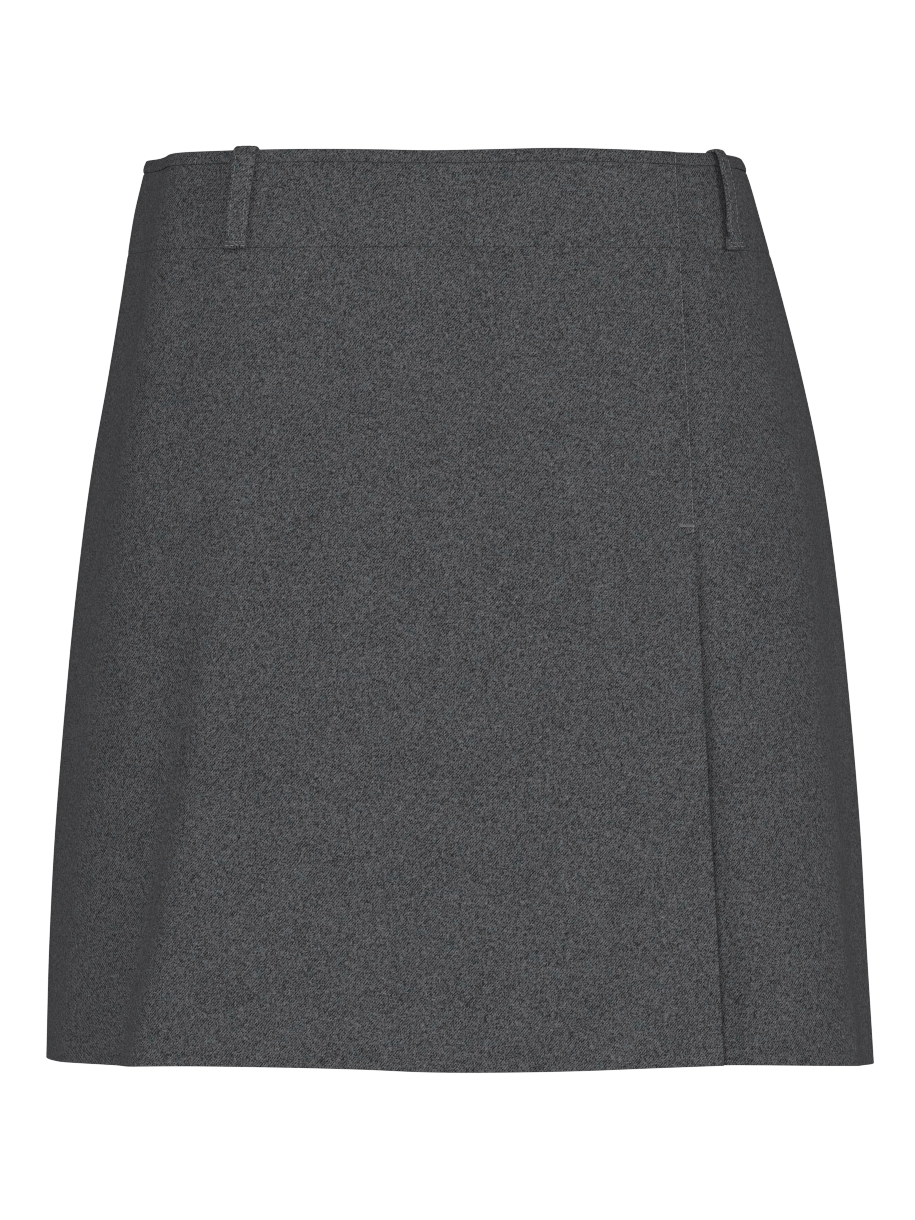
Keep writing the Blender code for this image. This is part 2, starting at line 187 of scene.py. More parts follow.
# The large folds, as the solids have them.
Fold = namedtuple("Fold", "start full turn_start turn_hem height less more")
FOLDS = [Fold(*row) for row in (
    (0.09, 0.34, -47.8, -58.6, -0.013, 7.8, 4.9),
    (0.12, 0.37, -37.5, -48.3, 0.002, 7.0, 4.4),
    (0.09, 0.29, -68.0, -70.5, -0.0058, 8.7, 7.5),
    (0.12, 0.37, 58.0, 62.8, 0.004, 7.2, 4.7),
    (0.15, 0.39, 74.4, 75.6, -0.0025, 4.7, 4.7),
    (0.15, 0.39, 122.0, 126.0, -0.008, 12.0, 10.0),
    (0.17, 0.395, 148.0, 151.0, 0.006, 12.0, 12.0),
    (0.14, 0.38, 178.0, 175.0, -0.006, 14.0, 13.0),
    (0.18, 0.395, 207.0, 204.0, 0.0055, 12.0, 11.0),
    (0.16, 0.385, 231.0, 228.0, -0.0085, 10.0, 12.0),
)]

# Creases and dents that only the shells have: a soft ridge or trough that
# comes up between start and full, fades between fade and end, and leans from
# turn_start to turn_end on the way.  height is outwards in metres.
Crease = namedtuple("Crease", "start full fade end turn_start turn_end height less more")
CREASES = [Crease(*row) for row in (
    # the hip's edge on the left, and on the right
    (-0.1, 0.01, 0.12, 0.21, -53.0, -57.5, 0.0032, 5.0, 4.0),
    (-0.1, 0.01, 0.12, 0.23, -66.0, -70.0, -0.003, 6.0, 6.0),
    (0.05, 0.12, 0.18, 0.26, 60.0, 64.0, 0.0012, 6.0, 5.0),
    # the right flare turns away behind its fold
    (0.06, 0.2, 0.33, 0.43, 72.0, 73.0, -0.0035, 6.0, 6.0),
    # thin ridges on the right side, towards the hem
    (0.25, 0.29, 0.38, 0.42, 65.5, 71.5, 0.0008, 1.4, 1.4),
    (0.32, 0.35, 0.39, 0.45, 64.5, 69.5, 0.0006, 1.2, 1.2),
    # a dent below the right loop
    (0.06, 0.095, 0.11, 0.145, 66.0, 65.0, -0.0014, 3.5, 4.0),
    # soft unevenness of the front
    (0.18, 0.33, 0.39, 0.9, -30.0, -33.0, 0.0007, 7.0, 8.0),
    (0.15, 0.32, 0.39, 0.9, -12.0, -14.0, -0.0006, 9.0, 7.0),
    (0.2, 0.36, 0.39, 0.9, 3.0, 5.0, 0.0006, 8.0, 8.0),
    (0.22, 0.38, 0.39, 0.9, 22.0, 24.0, -0.0006, 7.0, 8.0),
    # the right front beside the pleat
    (0.16, 0.24, 0.39, 0.9, 49.0, 52.0, -0.0006, 4.0, 4.0),
    # the left side and the back
    (0.12, 0.25, 0.39, 0.9, -88.0, -90.0, -0.0012, 6.0, 7.0),
    (0.1, 0.22, 0.39, 0.9, 104.0, 105.0, 0.0012, 8.0, 7.0),
    (0.04, 0.09, 0.13, 0.2, 170.0, 166.0, -0.001, 9.0, 11.0),
    (0.06, 0.12, 0.15, 0.23, 200.0, 205.0, -0.001, 10.0, 9.0),
    (0.16, 0.26, 0.39, 0.9, 137.0, 138.0, -0.001, 6.0, 6.0),
    (0.2, 0.33, 0.39, 0.9, 192.0, 190.0, 0.0012, 7.0, 6.0),
    (0.15, 0.28, 0.39, 0.9, 217.0, 216.0, -0.0012, 6.0, 7.0),
    (0.13, 0.26, 0.39, 0.9, 250.0, 252.0, 0.0014, 8.0, 7.0),
)]


def cubic(share, start, end, slope_in, slope_out):
    """Go from start to end on a smooth curve with these slopes."""
    cube, square = share ** 3, share ** 2
    return (start * (2 * cube - 3 * square + 1) + slope_in * (cube - 2 * square + share)
            + end * (3 * square - 2 * cube) + slope_out * (cube - square))


def table_value(rows, column, places):
    """Read a column at places along the first one, smoothly between the rows."""
    keys = np.array([row[0] for row in rows])
    values = np.array([getattr(row, column) for row in rows])
    last = len(rows) - 1
    places = np.clip(places, keys[0], keys[last])
    index = np.clip(np.searchsorted(keys, places) - 1, 0, last - 1)
    before = np.maximum(index - 1, 0)
    after = np.minimum(index + 2, last)
    run = keys[index + 1] - keys[index]
    share = (places - keys[index]) / run
    slope_in = (values[index + 1] - values[before]) / (keys[index + 1] - keys[before]) * run
    slope_out = (values[after] - values[index]) / (keys[after] - keys[index]) * run
    return cubic(share, values[index], values[index + 1], slope_in, slope_out)


def ease(low, high, value):
    """Go from 0 at low to 1 at high, flat at both ends."""
    share = np.clip((value - low) / (high - low), 0.0, 1.0)
    return share * share * (3.0 - 2.0 * share)


def swell(turn, centre, less, more):
    """1 on the centre line, falling to 0 at twice the width to either side."""
    away = (turn - centre + 180.0) % 360.0 - 180.0
    width = np.where(away > 0, more, less)
    inside = np.abs(away) < 2 * width
    return np.where(inside, 0.5 + 0.5 * np.cos(pi * away / (2 * width)), 0.0)


def fold_height(turn, drop):
    total = np.zeros(np.broadcast(turn, drop).shape)
    for fold in FOLDS:
        run = np.maximum((drop - fold.start) / (LENGTH - fold.start), 0.0)
        centre = fold.turn_start + (fold.turn_hem - fold.turn_start) * run ** 2
        share = ease(fold.start, fold.full, drop)
        total += fold.height * share * swell(turn, centre, fold.less, fold.more)
    for crease in CREASES:
        run = np.clip((drop - crease.start) / (crease.end - crease.start), 0.0, 1.0)
        centre = crease.turn_start + (crease.turn_end - crease.turn_start) * run
        share = ease(crease.start, crease.full, drop) * (1 - ease(crease.fade, crease.end, drop))
        total += crease.height * share * swell(turn, centre, crease.less, crease.more)
    return total


def section_radius(turn, drop):
    sideways, forwards = np.sin(np.radians(turn)), np.cos(np.radians(turn))
    left, right, front, back = [table_value(SECTIONS, way, drop)
                                for way in ("left", "right", "front", "back")]
    side = np.where(sideways > 0, right, left)
    depth = np.where(forwards > 0, front, back)
    power = np.where(forwards > 0, FRONT_SQUARENESS, BACK_SQUARENESS)
    return (np.abs(sideways / side) ** power + np.abs(forwards / depth) ** power) ** (-1 / power)


def edge_shift(turn, drop):
    wrapped = (turn + 180.0) % 360.0 - 180.0
    dip = table_value(EDGES, "waist_dip", wrapped) * (1 - ease(0.0, WAIST_DIP_REACH, drop))
    rise = table_value(EDGES, "hem_rise", wrapped) * ease(LENGTH - HEM_RISE_REACH, LENGTH, drop)
    return rise - dip


def skirt_points(turn, drop):
    """Points of the outer surface."""
    turn, drop = np.broadcast_arrays(turn, drop)
    radius = section_radius(turn, drop) + fold_height(turn, drop)
    angle = np.radians(turn)
    return np.stack([radius * np.sin(angle), -radius * np.cos(angle),
                     edge_shift(turn, drop) - drop], axis=-1)


def unit(vectors):
    return vectors / np.linalg.norm(vectors, axis=-1, keepdims=True)


def surface_frames(turn, drop):
    """The points, the way along the cloth to more turn, and the way out of it."""
    points = skirt_points(turn, drop)
    step = np.degrees(PROBE / np.linalg.norm(points[..., :2], axis=-1))
    along = unit(skirt_points(turn + step, drop) - skirt_points(turn - step, drop))
    down = unit(skirt_points(turn, drop + PROBE) - skirt_points(turn, drop - PROBE))
    return points, along, unit(np.cross(down, along))


def turn_at_fold(drop):
    """Turn of the straight pleat fold at a drop."""
    place = FOLD_X_AT_WAIST + (FOLD_X_AT_HEM - FOLD_X_AT_WAIST) * drop / LENGTH
    side, front = table_value(SECTIONS, "right", drop), table_value(SECTIONS, "front", drop)
    forwards = front * (1 - (place / side) ** FRONT_SQUARENESS) ** (1 / FRONT_SQUARENESS)
    return np.degrees(np.arctan2(place, forwards))


def turn_beside_fold(distance, drop):
    edge = turn_at_fold(drop)
    return edge + np.degrees(distance / section_radius(edge, drop))


def fold_lift(turn, drop):
    """How far the open pleat stands out, most at its fold."""
    edge = turn_at_fold(drop)
    distance = np.radians(turn - edge) * section_radius(edge, drop)
    return FOLD_LIFT * ease(TACK_DROP, LENGTH, drop) * ease(-FOLD_LIFT_RUN, 0.0, distance)


# ---- shells --------------------------------------------------------------

# A column of a shell, each with a value by row: turn, depth of the middle under
# the skirt surface, shift along the cloth and heading (180 is turned back under).
Station = namedtuple("Station", "turn depth shift heading")

# Side view of cloth that goes over the waist edge: how far its middle lies out
# of the skirt surface, and its drop.
Route = namedtuple("Route", "out drop")

# What each border of a shell is: a seam rolls inwards, a fold is only round.
Borders = namedtuple("Borders", "top bottom first last")


def station(turn, depth, shift=0.0, heading=0.0):
    zero = np.zeros_like(turn)
    return Station(turn, zero + depth, zero + shift, zero + heading)


def grid(stations, field):
    """One field of all columns, by row and column."""
    return np.stack([getattr(column, field) for column in stations], axis=1)


def spread(low, high, count):
    """count + 1 even values from low to high."""
    return [low + (high - low) * step / count for step in range(count + 1)]


def bordered(low, high, first=True, last=True):
    """Values from low to high, CELL apart, with close ones along the borders."""
    start = [low + step for step in BORDER_STEPS] if first else []
    stop = [high - step for step in reversed(BORDER_STEPS)] if last else []
    inner_low, inner_high = (start or [low])[-1], (stop or [high])[0]
    count = max(2, round((inner_high - inner_low) / CELL))
    inner = spread(inner_low, inner_high, count)
    head = [low] + start[:-1] if first else []
    tail = stop[1:] + [high] if last else []
    return head + inner + tail


def seam_turn(turn, drop, side):
    return turn + side * np.degrees(SEAM_GAP / 2 / section_radius(np.full_like(drop, turn), drop))


def between(low, high, count, first, last):
    """Columns between two turns, which hold a value for each row; close ones at a border."""
    close = [np.degrees(step / MEAN_RADIUS) for step in (0.0, *BORDER_STEPS)]
    clear = np.degrees(2 * BORDER_STEPS[-1] / MEAN_RADIUS)
    start, stop = low + clear * first, high - clear * last
    head = [low + step for step in close] if first else []
    inner = [start + (stop - start) * share for share in spread(0.0, 1.0, count)]
    tail = [high - step for step in reversed(close)] if last else []
    return head + inner + tail


def distances(points, axis):
    """Length along an axis of a grid of points, from its first row or column."""
    steps = np.linalg.norm(np.diff(points, axis=axis), axis=-1)
    total = np.cumsum(steps, axis=axis)
    zeros = np.zeros_like(np.take(total, [0], axis=axis))
    return np.concatenate([zeros, total], axis=axis)


def border_form(across, down, borders, edge, seam_edge, seam_roll):
    """Share of the wall that is left beside the borders, and the roll into the seams."""
    sides = (down, down[-1:] - down, across, across[:, -1:] - across)
    share, roll = np.ones(across.shape), np.zeros(across.shape)
    for distance, is_seam in zip(sides, borders):
        near = np.clip(distance / (seam_edge if is_seam else edge), 0.0, 1.0)
        share = np.minimum(share, np.sqrt(1 - (1 - near) ** 2))
        if is_seam:
            roll = np.maximum(roll, seam_roll * np.exp(-(distance / SEAM_ROLL_RUN) ** 2))
    return np.maximum(share, THINNEST_EDGE), roll


def lay_shell(name, columns, drops, wall, borders, material, tuck=None, thin=None):
    """Make one closed shell; columns are stations and the number of the middle one,
    drops has a value for each row.

    tuck adds depth by row and thin scales the wall by row, where an edge lies
    inside another piece.
    """
    stations, centre = columns
    turn, depth, shift = [grid(stations, field) for field in ("turn", "depth", "shift")]
    heading = np.radians(grid(stations, "heading"))
    if tuck is not None:
        depth = depth + tuck[:, None]
    drop = np.broadcast_to(drops[:, None], turn.shape)
    points, along, out = surface_frames(turn, drop)
    face = out * np.cos(heading)[..., None] + along * np.sin(heading)[..., None]

    middle = points - out * depth[..., None] + along * shift[..., None]
    across, down = distances(middle, 1), distances(middle, 0)
    share, roll = border_form(across, down, borders, wall / 2, SEAM_EDGE, SEAM_ROLL)
    half = wall / 2 * share
    if thin is not None:
        half = half * thin[:, None]
    middle = middle - face * roll[..., None]
    outer = middle + face * half[..., None]
    inner = middle - face * half[..., None]

    weave = np.stack([across - across[:, centre:centre + 1], down], axis=-1)
    piece = shell_object(name, outer, inner, weave, material)
    return piece


def shell_object(name, outer, inner, weave, material):
    rows, columns = outer.shape[:2]
    count = rows * columns
    number = np.arange(count).reshape(rows, columns)
    a, b = number[:-1, :-1], number[:-1, 1:]
    c, d = number[1:, 1:], number[1:, :-1]
    outside = np.stack([a, d, c, b], axis=-1).reshape(-1, 4)
    inside = np.stack([a, b, c, d], axis=-1).reshape(-1, 4) + count

    def strip(line):
        start, end = line[:-1], line[1:]
        return np.stack([start, end, end + count, start + count], axis=-1)

    rim = np.concatenate([strip(number[0]), strip(number[::-1, 0]),
                          strip(number[-1, ::-1]), strip(number[:, -1])])
    quads = np.concatenate([outside, inside, rim])
    points = np.concatenate([outer.reshape(-1, 3), inner.reshape(-1, 3)])
    places = np.concatenate([weave.reshape(-1, 2), weave.reshape(-1, 2) + INNER_WEAVE_SHIFT])
    return mesh_object(name, points, quads, places, material)


def mesh_object(name, points, quads, places, material):
    mesh = bpy.data.meshes.new(name)
    mesh.vertices.add(len(points))
    mesh.vertices.foreach_set("co", np.asarray(points, dtype=np.float32).ravel())
    mesh.loops.add(quads.size)
    mesh.loops.foreach_set("vertex_index", quads.astype(np.int32).ravel())
    mesh.polygons.add(len(quads))
    mesh.polygons.foreach_set("loop_start", np.arange(0, quads.size, 4, dtype=np.int32))
    mesh.update(calc_edges=True)
    layer = mesh.uv_layers.new(name="weave")
    layer.data.foreach_set("uv", places[quads.ravel()].astype(np.float32).ravel())
    mesh.materials.append(material)
    mesh.shade_smooth()
    mesh.validate()
    piece = bpy.data.objects.new(name, mesh)
    bpy.context.collection.objects.link(piece)
    return piece


# ---- the sewn pieces -----------------------------------------------------

def front_stations(drops, wall, returned):
    """Left side seam to pleat fold, and where it is returned also back under the fold."""
    zero = np.zeros_like(drops)
    middle = wall / 2
    bend = (wall + PLY_GAP) / 2
    reach = bend + wall / 2
    start = seam_turn(-SIDE_SEAM_TURN, drops, 1)
    meet = turn_beside_fold(-PLEAT_RETURN, drops)
    left = between(start, zero, FRONT_LEFT_COLUMNS, True, False)
    right = between(zero, meet, FRONT_RIGHT_COLUMNS, False, False)
    centre = len(left) - 1
    over = [turn_beside_fold(distance, drops)
            for distance in spread(-PLEAT_RETURN, -2 * reach, RETURN_COLUMNS)]
    turns = left + right[1:] + over[1:]
    if not returned:
        close = [turn_beside_fold(-SEAM_GAP - step, drops) for step in reversed(BORDER_STEPS)]
        close.append(turn_beside_fold(-SEAM_GAP, drops))
        turns += [turn for turn in close if np.all(turn > turns[-1] + 0.001)]
    stations = [station(turn, middle - fold_lift(turn, drops)) for turn in turns]
    if not returned:
        return stations, centre
    edge = turn_beside_fold(-reach, drops)
    for heading in spread(0.0, 180.0, FOLD_STEPS):
        depth = middle + bend * (1 - cos(radians(heading))) - fold_lift(edge, drops)
        stations.append(station(edge, depth, bend * sin(radians(heading)), heading))
    for turn in reversed(over):
        depth = middle + 2 * bend - fold_lift(turn, drops)
        stations.append(station(turn, depth, 0.0, 180.0))
    return stations, centre


def right_front_stations(drops, wall, lap_depth, run=LAP_EASE, start=0.0, close=0.0):
    """From under the lap to the right side seam.

    Beside the fold the piece comes up between start and run, but the share
    close of the way within GROOVE_RUN.  lap_depth, start and close may differ by row.
    """
    middle = wall / 2
    stations = []
    for distance in spread(-PLEAT_RETURN, 0.0, UNDER_LAP_COLUMNS):
        turn = turn_beside_fold(distance, drops)
        stations.append(station(turn, lap_depth + middle))
    for distance in spread(0.0, run, RISE_COLUMNS)[1:]:
        share = close * ease(0.0, GROOVE_RUN, distance) + (1 - close) * ease(start, run, distance)
        up = lap_depth * share
        turn = turn_beside_fold(distance, drops)
        stations.append(station(turn, lap_depth - up + middle))
    clear = turn_beside_fold(run, drops)
    end = seam_turn(SIDE_SEAM_TURN, drops, -1)
    for turn in between(clear, end, RIGHT_COLUMNS, False, True)[1:]:
        stations.append(station(turn, middle))
    return stations, UNDER_LAP_COLUMNS


def back_stations(drops, wall):
    start = seam_turn(SIDE_SEAM_TURN, drops, 1)
    end = seam_turn(360.0 - SIDE_SEAM_TURN, drops, -1)
    turns = between(start, end, BACK_COLUMNS, True, True)
    return [station(turn, wall / 2) for turn in turns], len(turns) // 2


def make_panels(material):
    wall = PANEL_SHELL
    drops = np.array(bordered(BINDING_HEIGHT + WAISTBAND_HEIGHT + SEAM_GAP, LENGTH))
    grooved = ease(TACK_DROP, GROOVE_FULL, drops)
    under_pleat = (2 * (wall + PLY_GAP) + GROOVE_DEPTH * grooved
                   + (PLEAT_HOLLOW - GROOVE_DEPTH) * ease(TACK_DROP, PLEAT_FULL, drops))
    bottom = PLEAT_BOTTOM * ease(PLEAT_OPENS, LENGTH, drops)
    right = right_front_stations(drops, wall, under_pleat, PLEAT_RUN, bottom,
                                 GROOVE_SHARE * grooved)
    return [lay_shell("front_panel_cloth", front_stations(drops, wall, True), drops, wall,
                      Borders(True, False, True, False), material),
            lay_shell("right_front_panel_cloth", right, drops, wall,
                      Borders(True, False, False, True), material),
            lay_shell("back_panel_cloth", back_stations(drops, wall), drops, wall,
                      Borders(True, False, True, True), material)]


def make_waistband(material):
    wall = WAISTBAND_SHELL
    inside = spread(BINDING_HEIGHT - TONGUE, BINDING_HEIGHT - WAISTBAND_EDGE[0], 5)
    edge = [BINDING_HEIGHT + step for step in WAISTBAND_EDGE]
    visible = bordered(edge[-1], BINDING_HEIGHT + WAISTBAND_HEIGHT, False, True)
    drops = np.array(inside + edge + visible[1:])
    near = np.clip((drops - BINDING_HEIGHT) / TONGUE_RUN, 0.0, 1.0)
    thin = TONGUE_THIN + (1 - TONGUE_THIN) * np.sqrt(1 - (1 - near) ** 2)
    tuck = TONGUE_TUCK * (1 - near)
    fade = 1 - ease(BINDING_HEIGHT + TOP_DROP_FADES, drops[-1], drops)
    lap = wall + PLY_GAP + (BINDING_THICK - wall) * (1 - near)
    return [lay_shell("waistband_front_cloth", front_stations(drops, wall, False), drops, wall,
                      Borders(False, True, True, False), material, tuck, thin),
            lay_shell("waistband_right_front_cloth", right_front_stations(drops, wall, lap),
                      drops + RIGHT_TOP_DROP * fade, wall,
                      Borders(False, True, False, True), material, tuck, thin),
            lay_shell("waistband_back_cloth", back_stations(drops, wall), drops, wall,
                      Borders(False, True, True, True), material, tuck, thin)]


def binding_route():
    """Side view of the binding's cloth, from the inside up over the edge and down."""
    outside = BINDING_PROUD - BINDING_CLOTH / 2
    inside = BINDING_PROUD - BINDING_THICK + BINDING_CLOTH / 2
    middle, bend = (outside + inside) / 2, (outside - inside) / 2
    top = BINDING_CLOTH / 2 + bend
    route = [Route(inside, drop) for drop in reversed(bordered(top, BINDING_HEIGHT, False, True))]
    for heading in spread(180.0, 0.0, 10)[1:-1]:
        route.append(Route(middle + bend * cos(radians(heading)), top - bend * sin(radians(heading))))
    first, *rest = [BINDING_HEIGHT - step for step in BINDING_EDGE]
    for drop in spread(top, first, 6) + rest:
        sink = BINDING_SINK * ease(BINDING_HEIGHT - BINDING_SINK_RUN, BINDING_HEIGHT, drop)
        belly = BINDING_BELLY * sin(pi * min((drop - top) / (BINDING_HEIGHT - top), 1.0))
        route.append(Route(outside + belly - sink, drop))
    return route


def lay_binding(name, columns, route, drops, borders, material):
    """A strip folded over the waist edge, on the same columns as the waistband."""
    stations, centre = columns
    turn, depth = grid(stations, "turn"), grid(stations, "depth")
    drop = np.broadcast_to(drops[:, None], turn.shape)
    points, _, out = surface_frames(turn, drop)
    middle = points + out * (route[:, 0][:, None] - depth)[..., None]
    middle[..., 2] += depth * out[..., 2]          # cloth under the lap keeps its height
    across, along = distances(middle, 1), distances(middle, 0)
    edge = BINDING_CLOTH / 2
    share, roll = border_form(across, along, borders, edge, edge, BINDING_ROLL)
    half = edge * share
    way = unit(np.gradient(route, axis=0))
    lean_out, lean_down = way[:, 1][:, None], -way[:, 0][:, None]
    upright = np.zeros_like(out)
    upright[..., 2] = -1.0
    normal = out * lean_out[..., None] + upright * lean_down[..., None]
    middle = middle - out * roll[..., None]
    weave = np.stack([across - across[:, centre:centre + 1], along], axis=-1)
    piece = shell_object(name, middle + normal * half[..., None], middle - normal * half[..., None],
                         weave, material)
    return piece


def make_binding(material):
    route = np.array(binding_route(), dtype=float)
    drops = route[:, 1]
    lower = drops + RIGHT_TOP_DROP
    right = right_front_stations(lower, 0.0, BINDING_THICK + PLY_GAP)
    return [lay_binding("binding_front_cloth", front_stations(drops, 0.0, False), route, drops,
                        Borders(False, False, True, False), material),
            lay_binding("binding_right_front_cloth", right, route, lower,
                        Borders(False, False, False, True), material),
            lay_binding("binding_back_cloth", back_stations(drops, 0.0), route, drops,
                        Borders(False, False, True, True), material)]


# ---- belt loops ----------------------------------------------------------

def loop_route():
    """From inside the waist over the edge and down to the folded end."""
    middle = LOOP_SHELL / 2
    inside = BINDING_PROUD - BINDING_THICK - LOOP_CLEAR - middle
    outside = BINDING_PROUD + LOOP_CLEAR + middle
    over = middle - LOOP_ABOVE_EDGE
    away = LOOP_STAND_OFF + middle
    bend = (LOOP_SHELL + PLY_GAP) / 2 - LOOP_SQUEEZE
    under = LOOP_END_CLEAR + middle
    fold_top = LOOP_BOTTOM - LOOP_FOLD
    turn_drop = LOOP_BOTTOM - bend - middle
    route = [Route(*place) for place in (
        (inside, LOOP_TUCK),
        (inside, 0.0030),
        (inside, 0.0008),
        (inside + 0.0004, over + 0.0004),
        (inside + 0.0012, over),
        (outside - 0.0010, over),
        (outside - 0.0001, over + 0.0005),
        (outside + 0.0003, 0.0006),
        (outside + 0.0010, 0.0034),
        (away - 0.0002, 0.0095),
        (away + 0.0001, 0.0160),
        (away + 0.0002, 0.0220),
        (away, 0.0285),
        (away - 0.0006, 0.0325),
        (under + 2 * bend + 0.0002, fold_top + 0.0010),
        (under + 2 * bend, fold_top + 0.0024),
        (under + 2 * bend - 0.0004, fold_top + 0.0036),
        (under + 2 * bend, fold_top + 0.0046),
    )]
    for heading in spread(0.0, 180.0, 6):
        across = under + bend + bend * cos(radians(heading))
        route.append(Route(across, turn_drop + bend * sin(radians(heading))))
    route.append(Route(under, fold_top + 0.0010))
    return route


LOOP_FACE = slice(8, 16)  # the stretch of the route that shows, down to the end's stitches


def smooth_route(route, per_span):
    """More places along a route, on a smooth curve through them."""
    places = np.array(route, dtype=float)
    fine = []
    for index in range(len(places) - 1):
        before = places[max(index - 1, 0)]
        here, there = places[index], places[index + 1]
        after = places[min(index + 2, len(places) - 1)]
        for step in range(per_span):
            fine.append(cubic(step / per_span, here, there,
                              (there - before) / 2, (after - here) / 2))
    fine.append(places[-1])
    return np.array(fine)


def loop_places(loop, sideways, outwards, drops):
    """Points on a loop: sideways from its middle line, outwards from the skirt surface."""
    drops_on = np.maximum(drops, 0.0)
    middle = loop.turn_top + (loop.turn_bottom - loop.turn_top) * drops_on / LOOP_BOTTOM
    turn = middle + np.degrees(sideways / section_radius(middle, drops_on))
    points, _, out = surface_frames(turn, drops_on)
    tilt = loop.tilt * (1 - ease(LOOP_BOTTOM - LOOP_FOLD - LOOP_TILT_FADES, LOOP_BOTTOM, drops_on))
    outwards = outwards - tilt * sideways * (outwards > 0)
    places = points + out * outwards[..., None]
    places[..., 2] += np.maximum(-drops, 0.0)
    return places


def loop_half_width(drops):
    return np.interp(drops, *zip(*LOOP_WIDTHS))


def make_loop(loop, material):
    line = smooth_route(loop_route(), 5)
    way = unit(np.gradient(line, axis=0))
    normal = np.stack([way[:, 1], -way[:, 0]], axis=1)
    across = np.array([-place for place in reversed(LOOP_COLUMNS)] + [0.0] + LOOP_COLUMNS)
    half_width = loop_half_width(line[:, 1])
    stitched = np.exp(-((np.abs(across) - LOOP_STITCH_LINE) / 0.10) ** 2)
    thickness = LOOP_SHELL / 2 * np.sqrt(np.clip(1 - np.abs(across) ** LOOP_EDGE_POWER, 0.05, 1.0))
    thickness = thickness * (1 - LOOP_STITCH_DENT * stitched)
    sideways = across[None, :] * half_width[:, None]
    outer_side = line[:, None, :] + normal[:, None, :] * thickness[None, :, None]
    inner_side = line[:, None, :] - normal[:, None, :] * thickness[None, :, None]
    outer = loop_places(loop, sideways, outer_side[..., 0], outer_side[..., 1])
    inner = loop_places(loop, sideways, inner_side[..., 0], inner_side[..., 1])
    along = distances(line[:, None, :], 0)
    weave = np.stack(np.broadcast_arrays(sideways, along), axis=-1)
    name = loop.name + "_cloth"
    piece = shell_object(name, outer, inner, weave, material)
    return piece


# ---- sewing thread -------------------------------------------------------

def stitch_mesh(name, stitches, material):
    """One mesh of small threads; a stitch is (middle, way, out, length, radius)."""
    profile = [(-1.0, 0.15), (-0.75, 0.75), (0.0, 1.0), (0.75, 0.75), (1.0, 0.15)]
    rings, sides = len(profile), 6
    points, quads, places = [], [], []
    for middle, way, out, length, radius in stitches:
        base = len(points)
        side = np.cross(way, out)
        for place, width in profile:
            arch = out * radius * 1.1 * (1 - place * place)
            for step in range(sides):
                angle = 2 * pi * step / sides
                around = side * cos(angle) + out * sin(angle)
                points.append(middle + way * place * length / 2 + arch + around * radius * width)
                places.append((place * length / 2, step / sides * 2 * pi * radius))
        for ring in range(rings - 1):
            for step in range(sides):
                a = base + ring * sides + step
                b = base + ring * sides + (step + 1) % sides
                quads.append((a, b, b + sides, a + sides))
        for end in (base, base + (rings - 1) * sides):
            for pair in ((0, 1, 2, 3), (0, 3, 4, 5)):
                loop = [end + step for step in pair]
                quads.append(tuple(reversed(loop)) if end == base else tuple(loop))
    return mesh_object(name, np.array(points), np.array(quads), np.array(places), material)


def value_at(place, along, values):
    """Read rows of three values at a place along them."""
    return np.array([np.interp(place, along, values[:, axis]) for axis in range(3)])


def stitches_on_skirt(turns, drops, depth, length, radius, pitch):
    """Stitches along a line given by turns and drops, sunk by depth in the surface."""
    points, _, out = surface_frames(turns, drops)
    points = points - out * depth[..., None]
    along = distances(points[:, None, :], 0)[:, 0]
    count = int(along[-1] / pitch)
    stitches = []
    for index in range(count + 1):
        place = min(index * pitch + 0.5 * pitch, along[-1])
        # a little uneven, the same way each time
        place = place + 0.16 * pitch * sin(5.3 * index + 0.7)
        middle = value_at(place, along, points)
        way = unit(value_at(place + PROBE, along, points) - value_at(place - PROBE, along, points))
        normal = unit(value_at(place, along, out))
        size = length * (1 + 0.15 * sin(3.1 * index))
        stitches.append((middle, way, normal, size, radius))
    return stitches


def edge_stitches(low, high, proud=0.0):
    """Edge stitching beside the pressed fold, between two drops."""
    drops = np.linspace(low, high, 60)
    turns = turn_beside_fold(-EDGE_STITCH_IN, drops)
    depth = -fold_lift(turns, drops) - proud - STITCH_SHOWS
    return stitches_on_skirt(turns, drops, depth, STITCH_LENGTH, THREAD_RADIUS, STITCH_PITCH)


def bar_tack():
    """The thread bar that closes the pleat."""
    distances_in = np.linspace(TACK_FROM, TACK_TO, 20)
    drops = np.full_like(distances_in, TACK_DROP + TACK_BELOW)
    turns = turn_beside_fold(distances_in, drops)
    depth = -TACK_PROUD - fold_lift(turns, drops)
    upper = stitches_on_skirt(turns, drops, depth, 0.0030, 0.00024, 0.0018)
    lower = stitches_on_skirt(turns, drops + 0.0005, depth + 0.00008, 0.0022, 0.00018, 0.0021)
    return upper + lower


